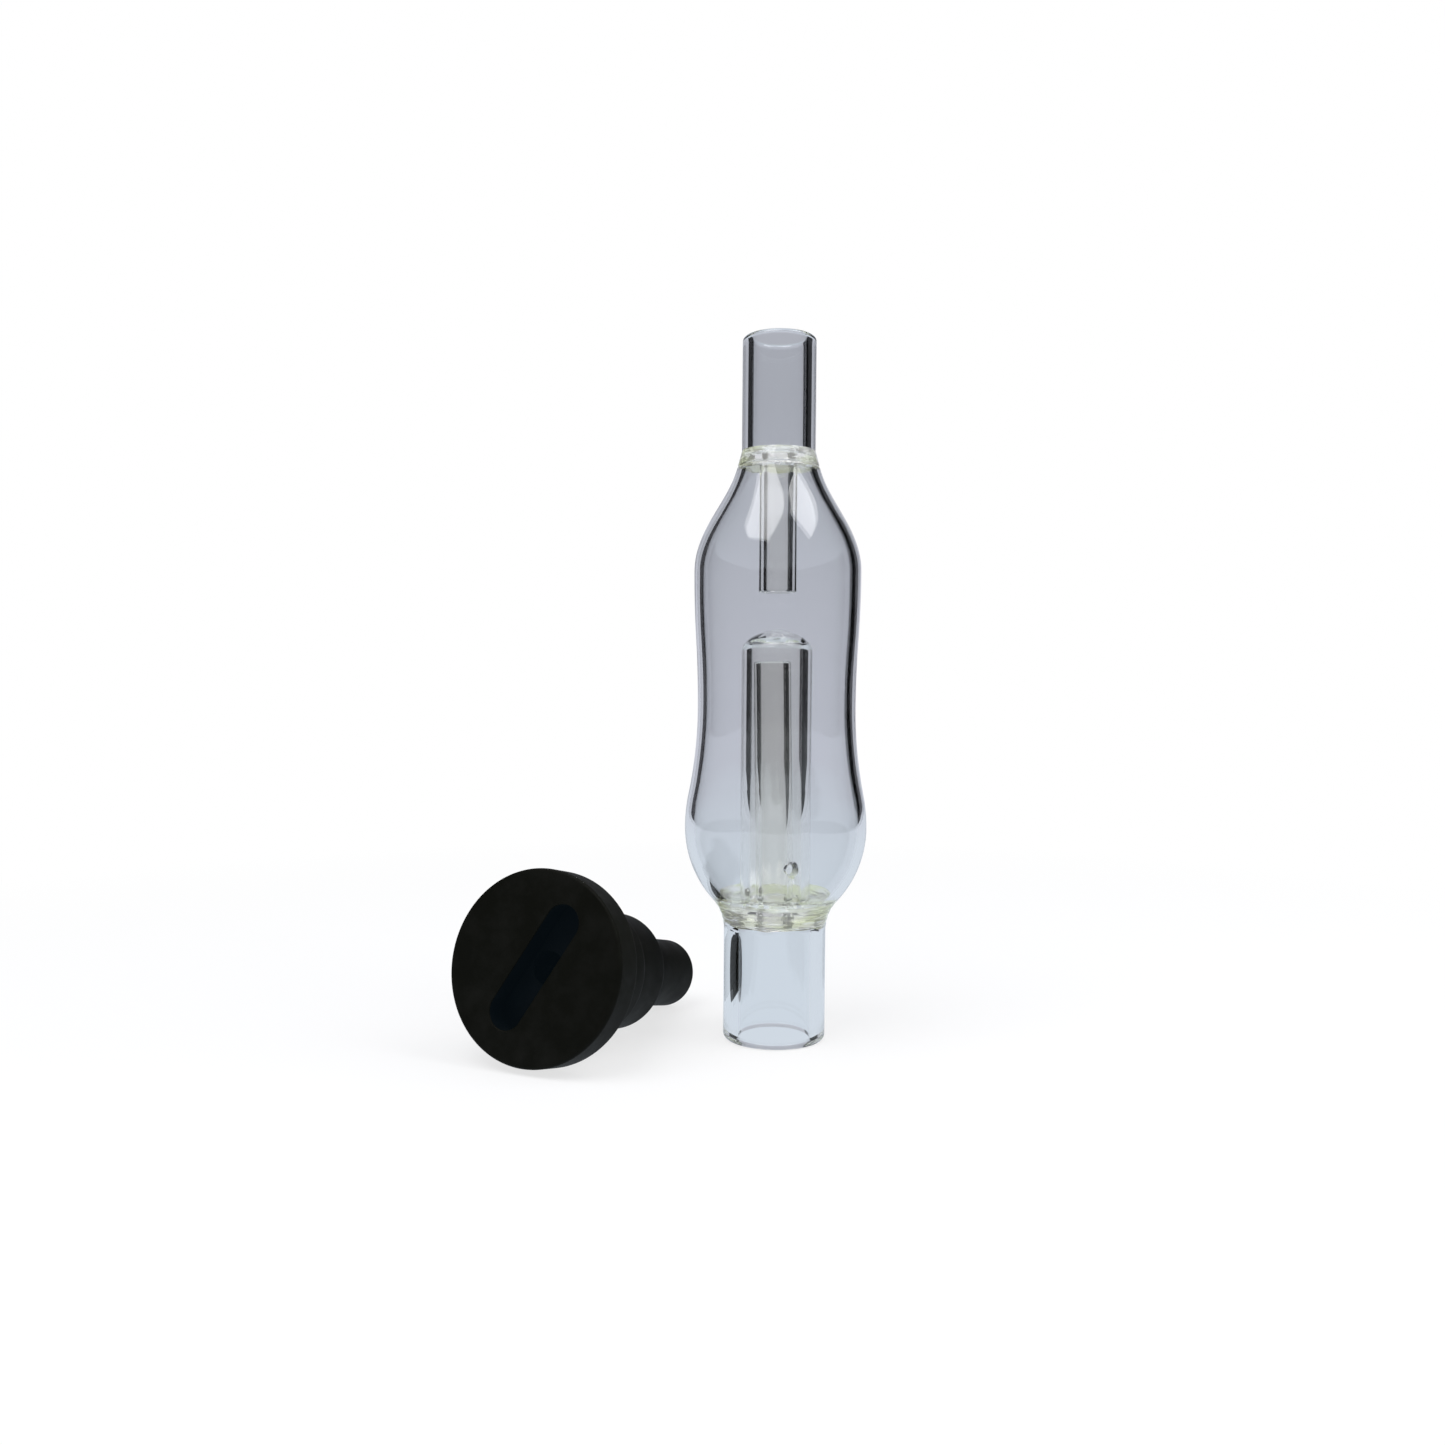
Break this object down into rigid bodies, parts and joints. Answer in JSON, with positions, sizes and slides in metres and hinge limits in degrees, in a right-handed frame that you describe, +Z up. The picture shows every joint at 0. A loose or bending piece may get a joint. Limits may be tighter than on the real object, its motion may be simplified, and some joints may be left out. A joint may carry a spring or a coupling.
{
  "type": "glass water bubbler",
  "caption": "Blown glass water bubbler with an inner percolator dome and drop tube, standing on its socket, and a black stepped push-in adapter lying beside it.",
  "frame": {"origin": "centre of the socket tube's rim, on the surface the glass stands on", "axes": "+Z up along the glass's centre line, towards the mouthpiece; +Y away from the viewer; +X to the viewer's right, the adapter lies at -X"},
  "size_m": [0.0746, 0.0564, 0.131],
  "materials": {
    "clear_glass": "clear, fire-polished",
    "seal_glass": "clear with a faint green and straw tint, rippled where it was melted together",
    "black_silicone": "matte moulded silicone rubber"
  },
  "bodies": {
    "glass": {"socket_tube": "clear_glass", "lower_seal": "seal_glass", "chamber": "clear_glass", "upper_seal": "seal_glass", "mouthpiece_tube": "clear_glass", "drop_tube": "clear_glass", "riser_tube": "clear_glass", "percolator_dome": "clear_glass"},
    "adapter": {"adapter": "black_silicone"}
  },
  "joints": [
    {"name": "adapter_lift", "type": "slide", "parent": "glass", "child": "adapter", "axis": [0, 0, 1], "range_m": [0, 0.05]}
  ]
}
